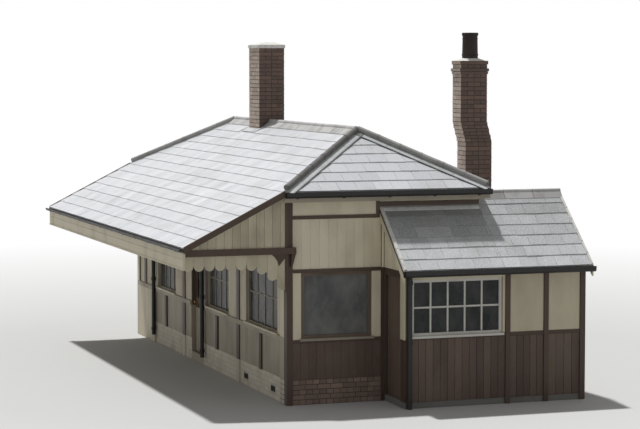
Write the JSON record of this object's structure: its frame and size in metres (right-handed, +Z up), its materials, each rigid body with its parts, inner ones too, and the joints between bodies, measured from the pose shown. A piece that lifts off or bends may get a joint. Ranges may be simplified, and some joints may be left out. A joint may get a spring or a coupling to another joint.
{
  "type": "railway station building",
  "caption": "Small hipped timber station building with a platform canopy, boarded walls, slate roof, chimneys and a lean-to annex.",
  "frame": {"origin": "middle of the main block's plan, on the ground", "axes": "+X along the building towards the annex, -Y faces the platform, +Z up"},
  "size_m": [10.97, 6.665, 5.93],
  "materials": {
    "base_brick": "weathered dark brick",
    "floor_boards": "worn boards",
    "annex_floor": "worn concrete",
    "wall_boards": "weathered oil paint",
    "dark_trim": "weathered dark paint",
    "window_frames": "weathered paint",
    "annex_window_frame": "white paint",
    "window_glass": "dusty glass",
    "door_paint": "dark paint",
    "hinge_iron": "black paint",
    "slates": "riven slate",
    "ridge_clay": "grey fired clay",
    "light_trim": "weathered oil paint",
    "rafter_wood": "painted timber",
    "gutter_iron": "black paint",
    "chimney_brick": "sooty brick",
    "cap_stone": "weathered stone",
    "chimney_pot": "sooty fired clay",
    "flashing_lead": "weathered sheet lead"
  },
  "bodies": {
    "building": {"base_front": "base_brick", "base_rear": "base_brick", "base_ends": "base_brick", "main_floor": "floor_boards", "annex_floor": "annex_floor", "front_wall_near": "wall_boards", "front_wall_far": "wall_boards", "front_wall_over_door": "wall_boards", "near_end_wall": "wall_boards", "far_end_wall": "wall_boards", "rear_wall": "wall_boards", "annex_front_wall": "wall_boards", "annex_side_wall": "wall_boards", "annex_wall_over_door": "wall_boards", "annex_gable_wall": "wall_boards", "annex_back_wall": "wall_boards", "wall_posts": "dark_trim", "wall_rails": "dark_trim", "annex_posts": "dark_trim", "tie_beams": "dark_trim", "bargeboards": "dark_trim", "front_window_frames": "window_frames", "rear_window_frames": "window_frames", "end_window_frames": "window_frames", "annex_window_frame": "annex_window_frame", "front_window_glass": "window_glass", "rear_window_glass": "window_glass", "end_window_glass": "window_glass", "annex_window_glass": "window_glass", "door_hinges": "hinge_iron", "front_roof_slope": "slates", "rear_roof_slope": "slates", "near_hip_slope": "slates", "far_hip_slope": "slates", "annex_front_slope": "slates", "annex_back_slope": "slates", "ridge_tiles": "ridge_clay", "hip_rolls": "ridge_clay", "annex_ridge_tiles": "ridge_clay", "fascia_boards": "light_trim", "canopy_end_boards": "light_trim", "valances": "light_trim", "canopy_rafters": "rafter_wood", "gutters": "gutter_iron", "downpipes": "gutter_iron", "ridge_chimney": "chimney_brick", "rear_chimney": "chimney_brick", "chimney_caps": "cap_stone", "chimney_pot": "chimney_pot", "annex_flashing": "flashing_lead"},
    "platform_door_leaf": {"platform_door": "door_paint", "platform_door_glass": "window_glass"},
    "annex_door_leaf": {"annex_door": "door_paint"}
  },
  "joints": [
    {"name": "platform_door_hinge", "type": "hinge", "parent": "building", "child": "platform_door_leaf", "pos_m": [-0.083, -1.499, 0.16], "axis": [0, 0, -1], "range_deg": [0, 90]},
    {"name": "annex_door_hinge", "type": "hinge", "parent": "building", "child": "annex_door_leaf", "pos_m": [4.793, 0.111, 0.11], "axis": [0, 0, 1], "range_deg": [0, 90]}
  ]
}
